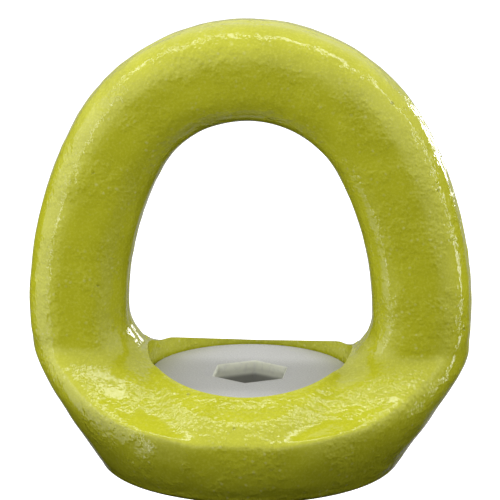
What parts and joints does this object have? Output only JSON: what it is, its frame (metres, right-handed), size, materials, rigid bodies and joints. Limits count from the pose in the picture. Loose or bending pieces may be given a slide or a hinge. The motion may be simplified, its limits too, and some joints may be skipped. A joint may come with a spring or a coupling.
{
  "type": "swivel hoist ring",
  "caption": "Swivel hoist ring: a forged D-shaped eye whose round hub turns on a bush held by a captive flat-headed hexagon-socket bolt with a metric threaded shank.",
  "frame": {"origin": "centre of the face that seats on the load, on the bolt axis", "axes": "+Z along the bolt axis, away from the load towards the crown of the eye; X across the eye; Y through the eye opening"},
  "size_m": [0.0778, 0.056, 0.1091],
  "materials": {
    "eye_paint": "gloss lime-yellow coating over a rough forging",
    "bolt_coating": "matt light grey zinc-flake coating, thread bright",
    "bush_steel": "hardened and ground steel",
    "washer_bronze": "turned bearing bronze",
    "ring_steel": "blackened spring steel"
  },
  "bodies": {
    "bolt_and_bush": {"bolt": "bolt_coating", "swivel_bush": "bush_steel", "retaining_ring": "ring_steel"},
    "washer": {"thrust_washer": "washer_bronze"},
    "eye": {"eye_body": "eye_paint"}
  },
  "joints": [
    {"name": "end_float", "type": "slide", "parent": "bolt_and_bush", "child": "washer", "axis": [0, 0, 1], "range_m": [0, 0.00028]},
    {"name": "swivel", "type": "hinge", "parent": "washer", "child": "eye", "pos_m": [0, 0, 0.004], "axis": [0, 0, 1], "continuous": true}
  ]
}
